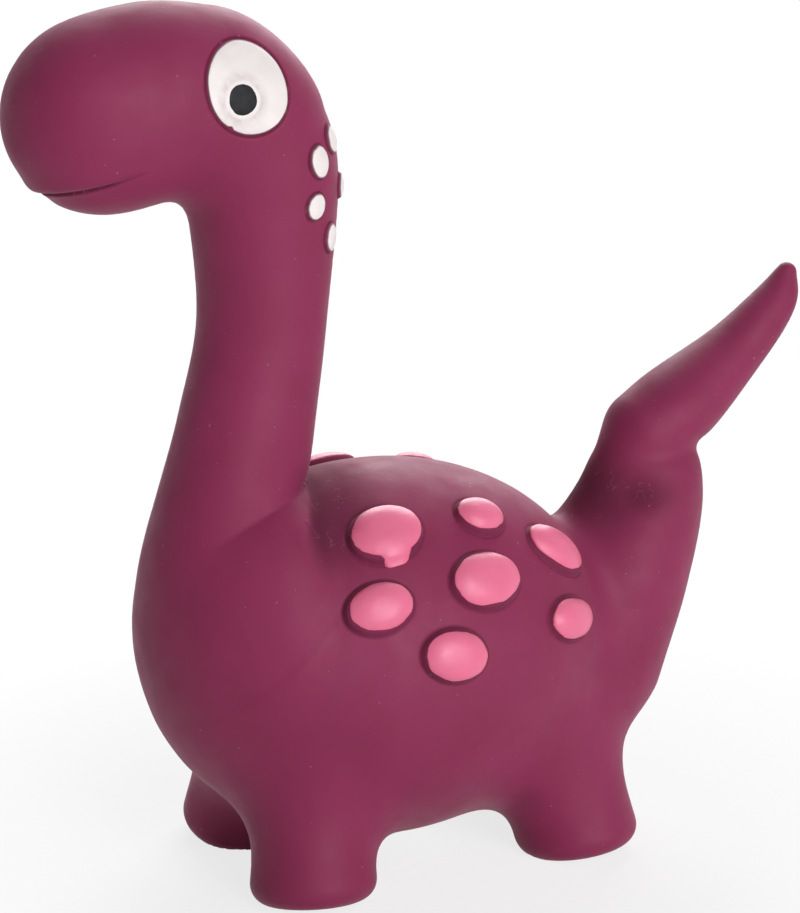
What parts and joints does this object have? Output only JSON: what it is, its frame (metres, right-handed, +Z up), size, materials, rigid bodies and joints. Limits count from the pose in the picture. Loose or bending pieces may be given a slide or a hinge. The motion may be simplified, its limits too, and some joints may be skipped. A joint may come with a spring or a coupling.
{
  "type": "squeaky dog toy",
  "caption": "Hollow latex dog toy shaped as a long-necked dinosaur with raised painted spots and a squeaker in its belly.",
  "frame": {"origin": "on the ground under the middle of the toy's length and width", "axes": "+Z up, head towards -X, tail towards +X, the toy's left side towards -Y"},
  "size_m": [0.1314, 0.0576, 0.1329],
  "materials": {
    "latex_burgundy": "matt slush-moulded latex with a faint bloom",
    "latex_pink": "brushed-on coloured latex, satin",
    "latex_white": "brushed-on coloured latex, satin",
    "latex_black": "brushed-on coloured latex, satin",
    "squeaker_plastic": "moulded polypropylene",
    "reed_film": "thin polyester film"
  },
  "bodies": {
    "toy": {"latex_skin": "latex_burgundy", "eye_white_left": "latex_white", "eye_white_right": "latex_white", "nape_spot_left_1": "latex_white", "nape_spot_right_1": "latex_white", "nape_spot_left_2": "latex_white", "nape_spot_right_2": "latex_white", "nape_spot_left_3": "latex_white", "nape_spot_right_3": "latex_white", "nape_spot_left_4": "latex_white", "nape_spot_right_4": "latex_white", "nape_spot_left_5": "latex_white", "nape_spot_right_5": "latex_white", "pupil_left": "latex_black", "pupil_right": "latex_black", "back_spot_left_1": "latex_pink", "back_spot_right_1": "latex_pink", "back_spot_left_2": "latex_pink", "back_spot_right_2": "latex_pink", "back_spot_left_3": "latex_pink", "back_spot_right_3": "latex_pink", "back_spot_left_4": "latex_pink", "back_spot_right_4": "latex_pink", "back_spot_left_5": "latex_pink", "back_spot_right_5": "latex_pink", "back_spot_left_6": "latex_pink", "back_spot_right_6": "latex_pink", "back_spot_left_7": "latex_pink", "back_spot_right_7": "latex_pink", "squeaker_plug": "squeaker_plastic", "reed_tube": "squeaker_plastic", "reed_block": "squeaker_plastic", "reed_wedge": "squeaker_plastic"},
    "reed": {"reed_tongue": "reed_film"}
  },
  "joints": [
    {"name": "reed_flex", "type": "hinge", "parent": "toy", "child": "reed", "pos_m": [-0.004, 0, 0.01094], "axis": [0, 1, 0], "range_deg": [-3, 3], "stiffness_Nm_per_rad": 0.0005}
  ]
}
